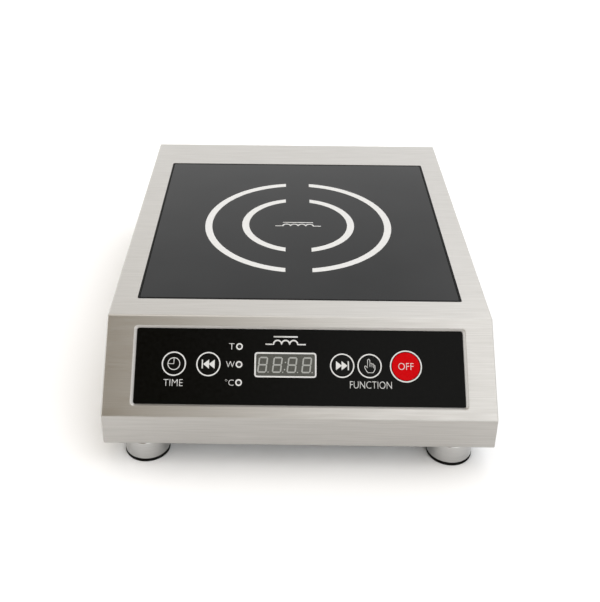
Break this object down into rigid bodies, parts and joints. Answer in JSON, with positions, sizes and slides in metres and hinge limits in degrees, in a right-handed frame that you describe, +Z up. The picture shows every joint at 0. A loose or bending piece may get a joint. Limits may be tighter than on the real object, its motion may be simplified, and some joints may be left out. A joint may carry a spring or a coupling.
{
  "type": "induction hob",
  "caption": "Countertop induction hob: brushed steel body on levelling feet, flush black glass with a ringed cooking zone, and a sloped control panel with push keys and a display.",
  "frame": {"origin": "on the bench, under the middle of the whole object with its cable gland", "axes": "+Z up; the controls face -Y; +X is to the right of someone who faces the controls"},
  "size_m": [0.327, 0.4466, 0.11],
  "materials": {
    "housing_steel": "brushed along the width, satin",
    "foot_steel": "turned, satin",
    "screw_steel": "bright",
    "black_glass": "polished glass ceramic, dark grey to black, opaque",
    "silicone": "satin black silicone",
    "foot_rubber": "matt black",
    "panel_black": "gloss black overlay, white print",
    "key_black": "gloss black, white symbols",
    "key_red": "gloss red, white lettering",
    "display_grey": "grey face, pale segments",
    "lamp_clear": "clear lens, unlit",
    "board_green": "solder mask over glass fibre",
    "aluminium": "mill finish",
    "galvanised": "zinc coated sheet",
    "spring_steel": "bright wire",
    "copper_wire": "enamelled copper",
    "mica": "matt, mottled",
    "former_plastic": "moulded, off white",
    "ferrite": "sintered, dark grey",
    "black_plastic": "moulded black",
    "can_yellow": "potted case",
    "white_print": "screen print on the glass, the overlay and the keys"
  },
  "bodies": {
    "hob": {"housing": "housing_steel", "glass_ledge": "housing_steel", "glass_plate": "black_glass", "glass_seal": "silicone", "base_plate": "galvanised", "control_panel": "panel_black", "panel_backing": "aluminium", "control_board": "board_green", "display_module": "display_grey", "led_timer": "lamp_clear", "led_power": "lamp_clear", "led_temperature": "lamp_clear", "mica_sheet": "mica", "coil_winding": "copper_wire", "coil_former": "former_plastic", "coil_plate": "aluminium", "glass_sensor": "former_plastic", "coil_bridge": "galvanised", "power_board": "board_green", "igbt_1": "black_plastic", "igbt_2": "black_plastic", "bridge_rectifier": "black_plastic", "heatsink": "aluminium", "smoothing_capacitor": "can_yellow", "resonant_capacitor": "can_yellow", "filter_choke": "copper_wire", "gland_body": "black_plastic", "gland_cap": "black_plastic", "gland_locknut": "black_plastic", "mains_terminal_block": "former_plastic", "ferrite_bar_1": "ferrite", "ferrite_bar_2": "ferrite", "ferrite_bar_3": "ferrite", "ferrite_bar_4": "ferrite", "ferrite_bar_5": "ferrite", "ferrite_bar_6": "ferrite", "coil_spring_1": "spring_steel", "coil_spring_2": "spring_steel", "coil_spring_3": "spring_steel", "fan_frame_left": "black_plastic", "fan_frame_right": "black_plastic", "base_screw_front_left": "screw_steel", "base_screw_front_right": "screw_steel", "base_screw_rear_left": "screw_steel", "base_screw_rear_right": "screw_steel"},
    "key_time": {"key_time": "key_black"},
    "key_down": {"key_down": "key_black"},
    "key_up": {"key_up": "key_black"},
    "key_function": {"key_function": "key_black"},
    "key_off": {"key_off": "key_red"},
    "fan_rotor_left": {"fan_rotor_left": "black_plastic"},
    "fan_rotor_right": {"fan_rotor_right": "black_plastic"},
    "foot_pad_front_left": {"foot_pad_front_left": "foot_rubber"},
    "foot_cup_front_left": {"foot_cup_front_left": "foot_steel"},
    "foot_pad_front_right": {"foot_pad_front_right": "foot_rubber"},
    "foot_cup_front_right": {"foot_cup_front_right": "foot_steel"},
    "foot_pad_rear_left": {"foot_pad_rear_left": "foot_rubber"},
    "foot_cup_rear_left": {"foot_cup_rear_left": "foot_steel"},
    "foot_pad_rear_right": {"foot_pad_rear_right": "foot_rubber"},
    "foot_cup_rear_right": {"foot_cup_rear_right": "foot_steel"}
  },
  "joints": [
    {"name": "key_time_press", "type": "slide", "parent": "hob", "child": "key_time", "axis": [0, 0.6952, -0.7188], "range_m": [0, 0.0005], "stiffness_N_per_m": 2000, "springref_m": -0.0005},
    {"name": "key_down_press", "type": "slide", "parent": "hob", "child": "key_down", "axis": [0, 0.6952, -0.7188], "range_m": [0, 0.0005], "stiffness_N_per_m": 2000, "springref_m": -0.0005},
    {"name": "key_up_press", "type": "slide", "parent": "hob", "child": "key_up", "axis": [0, 0.6952, -0.7188], "range_m": [0, 0.0005], "stiffness_N_per_m": 2000, "springref_m": -0.0005},
    {"name": "key_function_press", "type": "slide", "parent": "hob", "child": "key_function", "axis": [0, 0.6952, -0.7188], "range_m": [0, 0.0005], "stiffness_N_per_m": 2000, "springref_m": -0.0005},
    {"name": "key_off_press", "type": "slide", "parent": "hob", "child": "key_off", "axis": [0, 0.6952, -0.7188], "range_m": [0, 0.0005], "stiffness_N_per_m": 2000, "springref_m": -0.0005},
    {"name": "fan_left_spin", "type": "hinge", "parent": "hob", "child": "fan_rotor_left", "pos_m": [-0.06, -0.1053, 0.0345], "axis": [0, 0, 1], "continuous": true},
    {"name": "fan_right_spin", "type": "hinge", "parent": "hob", "child": "fan_rotor_right", "pos_m": [0.06, -0.1053, 0.0345], "axis": [0, 0, 1], "continuous": true},
    {"name": "foot_front_left_travel", "type": "slide", "parent": "hob", "child": "foot_pad_front_left", "axis": [0, 0, -1], "range_m": [0, 0.008]},
    {"name": "foot_front_left_turn", "type": "hinge", "parent": "foot_pad_front_left", "child": "foot_cup_front_left", "pos_m": [-0.13, -0.2018, 0.012], "axis": [0, 0, -1], "range_deg": [0, 2304]},
    {"name": "foot_front_right_travel", "type": "slide", "parent": "hob", "child": "foot_pad_front_right", "axis": [0, 0, -1], "range_m": [0, 0.008]},
    {"name": "foot_front_right_turn", "type": "hinge", "parent": "foot_pad_front_right", "child": "foot_cup_front_right", "pos_m": [0.13, -0.2018, 0.012], "axis": [0, 0, -1], "range_deg": [0, 2304]},
    {"name": "foot_rear_left_travel", "type": "slide", "parent": "hob", "child": "foot_pad_rear_left", "axis": [0, 0, -1], "range_m": [0, 0.008]},
    {"name": "foot_rear_left_turn", "type": "hinge", "parent": "foot_pad_rear_left", "child": "foot_cup_rear_left", "pos_m": [-0.13, 0.1802, 0.012], "axis": [0, 0, -1], "range_deg": [0, 2304]},
    {"name": "foot_rear_right_travel", "type": "slide", "parent": "hob", "child": "foot_pad_rear_right", "axis": [0, 0, -1], "range_m": [0, 0.008]},
    {"name": "foot_rear_right_turn", "type": "hinge", "parent": "foot_pad_rear_right", "child": "foot_cup_rear_right", "pos_m": [0.13, 0.1802, 0.012], "axis": [0, 0, -1], "range_deg": [0, 2304]}
  ],
  "couplings": [
    {"joint": "foot_front_left_travel", "follows": "foot_front_left_turn", "m_per_rad": 0.00019894},
    {"joint": "foot_front_right_travel", "follows": "foot_front_right_turn", "m_per_rad": 0.00019894},
    {"joint": "foot_rear_left_travel", "follows": "foot_rear_left_turn", "m_per_rad": 0.00019894},
    {"joint": "foot_rear_right_travel", "follows": "foot_rear_right_turn", "m_per_rad": 0.00019894}
  ]
}
